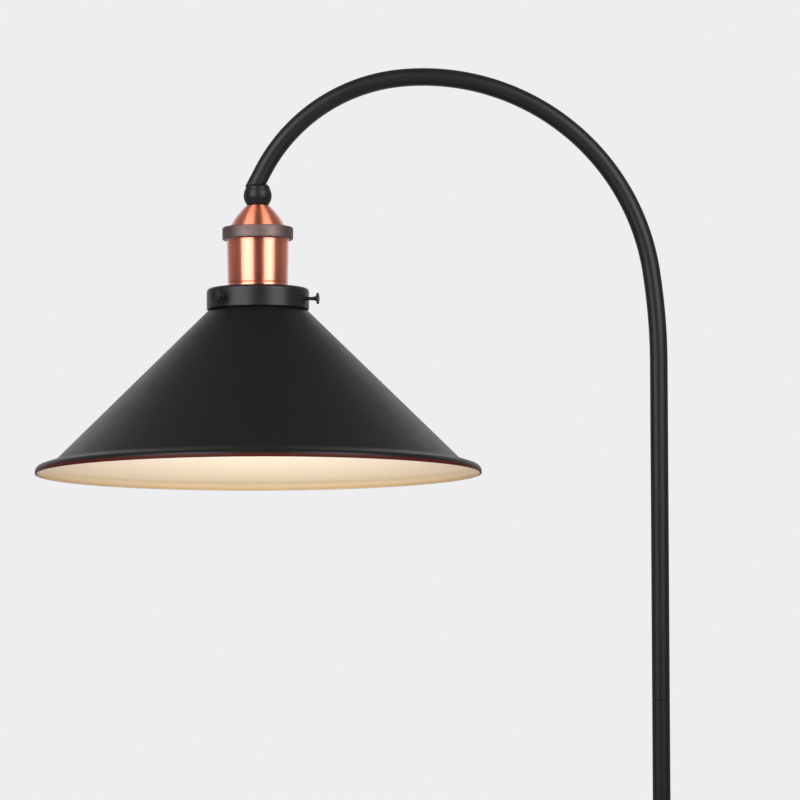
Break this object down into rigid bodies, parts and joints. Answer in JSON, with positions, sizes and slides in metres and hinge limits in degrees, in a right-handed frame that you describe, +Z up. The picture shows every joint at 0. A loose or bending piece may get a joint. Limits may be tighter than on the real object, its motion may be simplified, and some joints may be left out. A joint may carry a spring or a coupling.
{
  "type": "column floor lamp",
  "caption": "Column floor lamp with a round weighted base, thin sectioned pole, arched arm, ball swivel, copper lampholder and wide conical metal shade.",
  "frame": {"origin": "centre of the base's underside, on the pole's axis", "axes": "+Z up along the pole, the lamp head hangs on the -X side, the cord inlet is on the +X side"},
  "size_m": [0.5514, 0.3004, 1.5296],
  "materials": {
    "satin_black": "satin black powder coat",
    "shade_enamel": "satin black outside, cream inside",
    "brushed_copper": "brushed red copper plate on brass",
    "dark_pewter": "dark satin plate",
    "cast_iron": "primed casting",
    "felt": "pressed felt",
    "bushing_black": "moulded",
    "zinc_steel": "zinc plated",
    "brass": "bright",
    "black_phenolic": "moulded phenolic",
    "grey_fibre": "vulcanised fibre",
    "black_flex": "sheathed flex",
    "brown_core": "core insulation",
    "blue_core": "core insulation"
  },
  "bodies": {
    "stand": {"felt_pad": "felt", "base_weight": "cast_iron", "base_cover": "satin_black", "cord_bushing": "bushing_black", "base_stud": "zinc_steel", "base_washer": "zinc_steel", "base_nut": "zinc_steel", "pole_foot": "satin_black", "pole_lower": "satin_black", "pole_middle": "satin_black", "pole_upper": "satin_black", "tapped_sleeves": "zinc_steel", "joint_studs": "zinc_steel", "arched_arm": "satin_black", "supply_flex": "black_flex", "swivel_ball": "satin_black"},
    "swivel": {"friction_cup": "brass"},
    "head": {"swivel_stem": "brass", "tilt_pins": "zinc_steel", "stem_washer": "zinc_steel", "stem_nut": "zinc_steel", "copper_cap": "brushed_copper", "clamp_ring": "dark_pewter", "copper_shell": "brushed_copper", "insulating_liner": "grey_fibre", "socket_body": "black_phenolic", "screw_shell": "brass", "centre_contact": "brass", "terminal_tabs": "brass", "terminal_screws": "zinc_steel", "line_wire": "brown_core", "neutral_wire": "blue_core", "shade_holder": "satin_black", "holder_ring": "black_phenolic"},
    "shade": {"lamp_shade": "shade_enamel"},
    "thumbscrew_right": {"thumbscrew_right": "satin_black"},
    "thumbscrew_rear": {"thumbscrew_rear": "satin_black"},
    "thumbscrew_left": {"thumbscrew_left": "satin_black"}
  },
  "joints": [
    {"name": "swivel_pan", "type": "hinge", "parent": "stand", "child": "swivel", "pos_m": [-0.26958, 0, 1.44329], "axis": [0, 0, 1], "range_deg": [-170, 170]},
    {"name": "head_tilt", "type": "hinge", "parent": "swivel", "child": "head", "pos_m": [-0.26958, 0, 1.44329], "axis": [0, 1, 0], "range_deg": [-20, 20]},
    {"name": "shade_release", "type": "slide", "parent": "head", "child": "shade", "axis": [0, 0, -1], "range_m": [0, 0.02]},
    {"name": "thumbscrew_right_travel", "type": "slide", "parent": "head", "child": "thumbscrew_right", "axis": [0.9781, -0.2079, 0], "range_m": [0, 0.0012]},
    {"name": "thumbscrew_rear_travel", "type": "slide", "parent": "head", "child": "thumbscrew_rear", "axis": [-0.309, 0.9511, 0], "range_m": [0, 0.0012]},
    {"name": "thumbscrew_left_travel", "type": "slide", "parent": "head", "child": "thumbscrew_left", "axis": [-0.6691, -0.7431, 0], "range_m": [0, 0.0012]}
  ]
}
